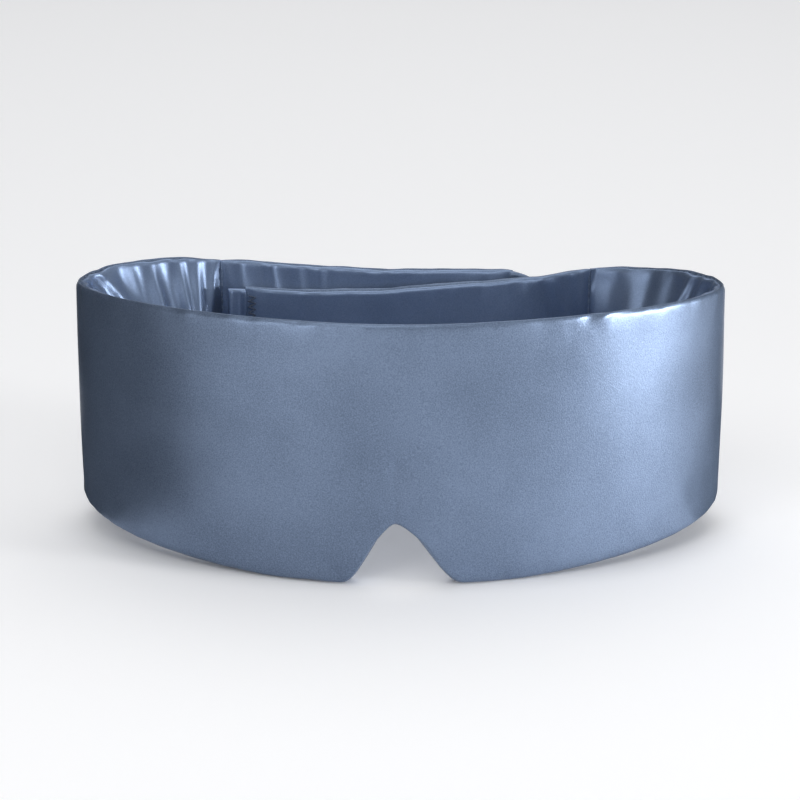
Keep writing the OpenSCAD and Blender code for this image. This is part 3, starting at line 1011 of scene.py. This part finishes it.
def seam_line(part, u, which):
    """The bottom of a seam groove, with the thread lying in it."""
    t = half_thick(part, u)
    if which == "top":
        n = RIM_SEAM[part] * t
        z = upper_edge(part, u) - GROOVE + 0.45 * MM
    else:
        n = FOOT_SEAM[part] * t
        z = lower_edge(part, u) + GROOVE - 0.45 * MM
    return place(part, u, n, z)


def join_pieces(name, pieces):
    clear_selection()
    for piece in pieces:
        piece.select_set(True)
    bpy.context.view_layer.objects.active = pieces[0]
    bpy.ops.object.join()
    obj = bpy.context.object
    obj.name = name
    obj.data.name = name
    return obj


def sew(obj, body, *replaced):
    return dress(obj, thread, "thread", body, *replaced)


NOTCH_FROM = -90 - 15.5
NOTCH_TO = -90 + 19.0
front_line = np.linspace(LEFT_FOLD - 358, RIGHT_FOLD - 2, 700)
left_foot = np.linspace(LEFT_FOLD - 358, NOTCH_FROM, 330)
right_foot = np.linspace(NOTCH_TO, RIGHT_FOLD - 2, 330)
sew(stitch_row("front_top_stitches", seam_line(FRONT, front_line, "top")),
    "mask_front", "front_top_seam")
foot_rows = [stitch_row("foot_left", seam_line(FRONT, left_foot, "foot")),
             stitch_row("foot_right", seam_line(FRONT, right_foot, "foot"))]
sew(join_pieces("front_bottom_stitches", foot_rows), "mask_front", "front_bottom_seam")
nose_line = seam_line(FRONT, np.linspace(NOTCH_FROM + 0.6, NOTCH_TO - 0.6, 220), "foot")
sew(stitch_row("nose_notch_stitches", nose_line, 2.2 * MM, 1.6 * MM), "mask_front", "nose_notch_seam")

outer_line = np.linspace(HEM_FROM + 0.5, LEFT_FOLD - 2, 300)
sew(stitch_row("left_strap_top_stitches", seam_line(OUTER, outer_line, "top")),
    "left_strap", "left_strap_top_seam")
sew(stitch_row("left_strap_foot_stitches", seam_line(OUTER, outer_line, "foot")),
    "left_strap", "left_strap_bottom_seam")
inner_line = np.linspace(RIGHT_FOLD + 2, TAB_FROM - 0.5, 300)
inner_rows = [stitch_row("inner_top", seam_line(INNER, inner_line, "top")),
              stitch_row("inner_foot", seam_line(INNER, inner_line, "foot"))]
sew(join_pieces("right_strap_stitches", inner_rows), "right_strap", "right_strap_seams")

# %% [markdown]
# Where a strap joins the front, the cloth of both is folded to nothing and sewn through.
# A flat welt of satin stands on the fold line, with a row of stitches down each side.

# %% Join welts
def upright_line(part, u, n, count=60, margin=2.5 * MM):
    at = np.full(count, float(u))
    lo, hi = float(lower_edge(part, at)[0]) + margin, float(upper_edge(part, at)[0]) - margin
    return place(part, at, np.full(count, float(n)), np.linspace(lo, hi, count))


def join_welt(name, part, u, node):
    rows = 28
    lo, hi = float(lower_edge(part, np.array([u]))[0]), float(upper_edge(part, np.array([u]))[0])
    z = np.linspace(lo + 0.5 * MM, hi - 0.15 * MM, rows)
    ring = np.linspace(0, 2 * np.pi, 17)
    swell = 1 + 0.12 * np.sin(z / MM * 1.9)
    taper = np.sqrt(np.clip(1 - (2 * np.linspace(0, 1, rows) - 1) ** 16, 0.02, 1))
    n = 0.75 * MM * np.sin(ring)[None, :] * (swell * taper)[:, None]
    step = 0.55 * MM * np.cos(ring)[None, :] * taper[:, None] / speed(u)
    points = place(part, u + step, n, z[:, None] + 0 * n)
    welt = close_up(grid_mesh(name, points))
    rounder(welt)
    smooth(welt)
    stitches = [stitch_row(name + "_out", upright_line(part, u, 0.85 * MM), 3 * MM, 2.2 * MM),
                stitch_row(name + "_in", upright_line(part, u, -0.85 * MM), 3 * MM, 2.2 * MM)]
    obj = join_pieces(name, [welt] + stitches)
    smooth(obj)
    return sew(obj, "mask_front", node)


join_welt("left_join_welt", FRONT, LEFT_FOLD - 360, "left_join_seam")
join_welt("right_join_welt", FRONT, RIGHT_FOLD, "right_join_seam")

# %% [markdown]
# The free ends. The inner strap ends in a flat tab: a folded strip of satin slipped over
# the strap's end, with a raw edge held by a dark zigzag. The outer strap ends in a plain
# hem, which lies hidden behind the inner strap when the mask is closed.

# %% Flat folded ends
END_COLUMNS, END_FLAT_ROWS, END_ROUND_ROWS = 26, 22, 4


def flat_end(name, part, u_from, u_to, thick_from, thick_to, low_gap, high_gap, wave, seed):
    """A flat folded strip round a strap's end. Thickness is half, at its two ends."""
    u = np.linspace(u_from, u_to, END_COLUMNS)
    share = np.linspace(0, 1, END_COLUMNS)
    near_end = np.clip(np.minimum(share, 1 - share) / 0.05, 0.0, 1)
    t = (thick_from + (thick_to - thick_from) * ease(share / 0.35)) * (0.45 + 0.55 * np.sqrt(near_end))
    lo = lower_edge(part, u) + low_gap
    hi = upper_edge(part, u) - high_gap
    corner = [("foot", a) for a in np.linspace(-90, 0, END_ROUND_ROWS)]
    corner += [("flat", s) for s in np.linspace(0, 1, END_FLAT_ROWS)[1:-1]]
    corner += [("top", a) for a in np.linspace(0, 90, END_ROUND_ROWS)]
    back = [("top", a) for a in np.linspace(90, 180, END_ROUND_ROWS)[1:]]
    back += [("back", s) for s in np.linspace(1, 0, END_FLAT_ROWS)[1:-1]]
    back += [("foot", a) for a in np.linspace(180, 270, END_ROUND_ROWS)]
    n, z = [], []
    for kind, value in corner + back:
        if kind in ("flat", "back"):
            way = 1 if kind == "flat" else -1
            height = lo + t + (hi - lo - 2 * t) * value
            n.append(way * t + wave * ripple(share * 10 + value * 3, seed, 7) * way * 0.5)
        else:
            c, s = math.cos(math.radians(value)), math.sin(math.radians(value))
            height = (lo + t * (1 + s)) if kind == "foot" else (hi - t * (1 - s))
            n.append(t * c)
        z.append(height)
    n, z = np.array(n), np.array(z)
    bow = wave * ripple(share * 10, seed + 1, 12)[None, :]
    points = place(part, u[None, :] + 0 * z, n + bow, z)
    run = np.broadcast_to((share * abs(u_to - u_from) * speed(u_from))[None, :], z.shape)
    obj = close_up(grid_mesh(name, points, np.stack([run, z], -1)))
    rounder(obj)
    smooth(obj)
    print(name, "faces", len(obj.data.polygons))
    return obj


TAB_OVERLAP = 1.2 * MM / speed(INNER_END)
pull_tab = flat_end("satin_pull_tab", INNER, TAB_FROM - TAB_OVERLAP, INNER_END, 1.9 * MM, 1.2 * MM,
                    3.0 * MM, 0.7 * MM, 0.3 * MM, 51)
dress(pull_tab, lining_satin, "satin_lining", "right_strap", "pull_tab")

end_hem = flat_end("left_strap_hem", OUTER, HEM_FROM + 1.2, OUTER_END, 1.95 * MM, 1.2 * MM,
                   0.8 * MM, 0.1 * MM, 0.2 * MM, 55)
dress(end_hem, satin, "satin", "left_strap", "left_strap_end_hem")
hem_middle = OUTER_END + HEM_ANGLE * 0.45
hem_rows = [stitch_row("hem_row_a", upright_line(OUTER, hem_middle, 1.35 * MM, margin=5 * MM)),
            stitch_row("hem_row_b", upright_line(OUTER, hem_middle + 1.1, 1.35 * MM, margin=5 * MM)),
            stitch_row("hem_row_c", upright_line(OUTER, hem_middle, -1.35 * MM, margin=5 * MM))]
sew(join_pieces("left_strap_hem_stitches", hem_rows), "left_strap", "left_strap_end_stitches")


# %% Zigzag and frayed edge of the tab
def tube(name, path, radius, sides=8):
    """A thin round thread along a path."""
    path = np.array(path)
    ahead = np.gradient(path, axis=0)
    ahead /= np.maximum(np.linalg.norm(ahead, axis=1, keepdims=True), 1e-9)
    across = np.cross(ahead, np.array([0.13, 0.97, 0.2]))
    across /= np.linalg.norm(across, axis=1, keepdims=True)
    over = np.cross(ahead, across)
    ring = np.linspace(0, 2 * np.pi, sides + 1)
    taper = np.ones(len(path))
    taper[0] = taper[-1] = 0.3
    points = (path[None] + radius * taper[None, :, None] * (
        np.cos(ring)[:, None, None] * across[None] + np.sin(ring)[:, None, None] * over[None]))
    return smooth(close_up(grid_mesh(name, points)))


ZIGZAG_WIDE, ZIGZAG_PITCH = 3.2 * MM, 2.3 * MM
FRAY_COUNT = 70
edge_u = TAB_FROM - TAB_OVERLAP
edge_low = float(lower_edge(INNER, np.array([edge_u]))[0]) + 5 * MM
edge_high = float(upper_edge(INNER, np.array([edge_u]))[0]) - 3 * MM
zig_count = int((edge_high - edge_low) / (ZIGZAG_PITCH / 2))
zig_at = np.linspace(0, zig_count, zig_count * 6 + 1)
zig_side = 2 * np.abs(zig_at % 2 - 1) - 1
zig_side = np.sign(zig_side) * np.abs(zig_side) ** 0.85
zig_z = edge_low + (edge_high - edge_low) * zig_at / zig_count
zig_middle = edge_u - 2.0 * MM / speed(edge_u)
zig_u = zig_middle + zig_side * ZIGZAG_WIDE / 2 / speed(edge_u)
zig_lift = 2.15 * MM + 0.3 * MM * (zig_side > 0.4)
zig_inner = tube("zig_inner", place(INNER, zig_u, -zig_lift, zig_z), 0.3 * MM)
zig_outer = tube("zig_outer", place(INNER, zig_u, zig_lift, zig_z), 0.3 * MM)
fray = []
fray_seed = np.random.default_rng(61)
for number in range(FRAY_COUNT):
    share = (number + fray_seed.uniform(0, 0.8)) / FRAY_COUNT
    z = edge_low - 2 * MM + (edge_high - edge_low + 4 * MM) * share
    far = fray_seed.uniform(0.5, 1.5) * MM / speed(edge_u)
    rise = fray_seed.uniform(-0.5, 0.5) * MM
    us = edge_u + np.array([0.25 * MM / speed(edge_u), -far * 0.5, -far])
    ns = -np.array([1.95, 2.2, 2.1 + fray_seed.uniform(0, 0.3)]) * MM
    zs = z + np.array([0, rise * 0.4, rise])
    fray.append(tube("fray", place(INNER, us, ns, zs), 0.12 * MM, 5))
frayed = join_pieces("tab_raw_edge_threads", fray)
dress(frayed, lining_satin, "satin_lining", "right_strap")
zigzag = join_pieces("tab_zigzag_thread", [zig_inner, zig_outer])
dark_thread = cloth_material("dark_sewing_thread", (0.075, 0.11, 0.18), (0.03, 0.045, 0.08), 2600,
                             150, rough=0.5, bump=0.6, metallic=0.1, sheen=0.2)
dress(zigzag, dark_thread, "thread", "right_strap", "tab_zigzag_stitches")

# %% [markdown]
# The closure. A soft loop tape is sewn on the inside of the outer strap and a hook tape on
# the outside of the inner one, facing each other. The hooks are one small bent hook copied
# in rows, and the loop side is a napped surface.

# %% Loop and hook tapes
TAPE_THICK = 1.4 * MM


def tape_band(name, part, long, high, n_from, n_to, counts, nap=0.0):
    """A flat band with soft edges. n_from is sewn down and n_to is the working face."""
    across, up = counts
    u = np.linspace(tape_middle - long / tape_speed / 2, tape_middle + long / tape_speed / 2, across)
    share = np.linspace(0, 1, up)
    heights = tape_centre(u)[None, :] + (share[:, None] - 0.5) * high
    random = np.random.default_rng(71)
    rim = np.minimum(1, np.minimum.outer(np.minimum(share, 1 - share) * up / 2,
                                         np.minimum(np.arange(across), np.arange(across)[::-1]) / 1.5))
    rim = np.clip(rim, 0.0, 1)
    face = n_from + (n_to - n_from) * (0.35 + 0.65 * np.sqrt(rim))
    face = face + nap * random.uniform(-1, 1, rim.shape) * rim * np.sign(n_from - n_to)
    wide = u[None, :] + 0 * heights
    front = place(part, wide, face, heights)
    back = place(part, wide, n_from + 0 * heights, heights)
    band = grid_mesh(name, front)
    under = grid_mesh(name + "_under", back)
    obj = join_pieces(name, [band, under])
    work_on(obj)
    bpy.ops.object.mode_set(mode="EDIT")
    bpy.ops.mesh.select_all(action="DESELECT")
    bpy.ops.mesh.select_non_manifold()
    bpy.ops.mesh.bridge_edge_loops()
    bpy.ops.mesh.select_all(action="SELECT")
    bpy.ops.mesh.normals_make_consistent(inside=False)
    bpy.ops.object.mode_set(mode="OBJECT")
    return smooth(obj)


loop_from = -HALF[OUTER] + 0.25 * MM
loop_to = -HALF[OUTER] - 0.2 * MM - TAPE_THICK
loop_tape = tape_band("soft_loop_tape", OUTER, LOOP_LONG, LOOP_HIGH, loop_from, loop_to,
                      (150, 84), 0.13 * MM)
dress(loop_tape, pile, "loop_tape", "left_strap", "loop_tape")

hook_from = HALF[INNER] - 0.25 * MM
hook_base = HALF[INNER] + 0.75 * MM
hook_tip = HALF[INNER] + 0.2 * MM + TAPE_THICK
hook_tape = tape_band("hook_tape_band", INNER, HOOK_LONG, HOOK_HIGH, hook_from, hook_base, (60, 38))


def hook_field(name):
    """One bent hook, repeated in rows over the hook tape."""
    pitch = 1.7 * MM
    across, up = int((HOOK_LONG - 5 * MM) / pitch), int((HOOK_HIGH - 4 * MM) / pitch)
    hooks = []
    rise = hook_tip - hook_base + 0.15 * MM
    stem = np.array([0, 0.55, 0.92, 1.0, 0.8]) * rise
    bend = np.array([0, 0.03, 0.18, 0.42, 0.55]) * MM
    for column in range(across):
        for row in range(up):
            u = tape_middle + (column - (across - 1) / 2) * pitch / tape_speed
            z = float(tape_centre(np.array([u]))[0]) + (row - (up - 1) / 2) * pitch
            way = 1 if (column + row) % 2 else -1
            us = u + way * bend / tape_speed
            hooks.append(place(INNER, us, hook_base - 0.15 * MM + stem, np.full(5, z)))
    paths = np.array(hooks)
    ring = np.linspace(0, 2 * np.pi, 5)[:-1]
    radius = 0.15 * MM
    points, faces = [], []
    for path in paths:
        base = len(points)
        for k, p in enumerate(path):
            thin = radius * (1 - 0.1 * k)
            for a in ring:
                points.append(p + np.array([thin * math.cos(a), 0.2 * thin, thin * math.sin(a)]))
        for k in range(4):
            for i in range(4):
                j = (i + 1) % 4
                low, high = base + 4 * k, base + 4 * k + 4
                faces.append([low + i, low + j, high + j, high + i])
        faces.append([base + 16, base + 17, base + 18, base + 19])
        faces.append([base + 3, base + 2, base + 1, base])
    mesh = bpy.data.meshes.new(name)
    mesh.from_pydata([tuple(p) for p in points], [], faces)
    obj = bpy.data.objects.new(name, mesh)
    bpy.context.collection.objects.link(obj)
    close_up(obj, caps=False)
    print(name, "hooks", len(paths))
    return obj


hook_tape = join_pieces("hook_tape_with_hooks", [hook_tape, hook_field("hooks")])
dress(hook_tape, hook_nylon, "hook_tape", "right_strap", "hook_tape")


# %% Tape stitches
def tape_stitches(name, part, long, high, n, body, node):
    edge_u = np.linspace(tape_middle - long / tape_speed / 2, tape_middle + long / tape_speed / 2, 120)
    rows = []
    for way in (-1, 1):
        z = tape_centre(edge_u) + way * (high / 2 - 1.6 * MM)
        rows.append(stitch_row("tape_row", place(part, edge_u, np.full(120, n), z), 2.6 * MM, 1.8 * MM))
    return sew(join_pieces(name, rows), body, node)


tape_stitches("loop_tape_rows", OUTER, LOOP_LONG, LOOP_HIGH, loop_to - 0.02 * MM,
              "left_strap", "loop_tape_stitches")
tape_stitches("hook_tape_rows", INNER, HOOK_LONG, HOOK_HIGH, hook_base + 0.12 * MM,
              "right_strap", "hook_tape_stitches")

# %% [markdown]
# The area of one side of every cloth piece, and of the blackout sheet, is measured here.

def declare(piece):
    area = cloth_area(piece)


for cloth_pair, long, core in (((front_shell, front_lining), front_run, front_core),
                               ((outer_face, outer_back), outer_run, outer_core),
                               ((inner_back, inner_face), inner_run, inner_core)):
    for cloth_piece in cloth_pair:
        declare(cloth_piece)
declare(blackout_sheet)
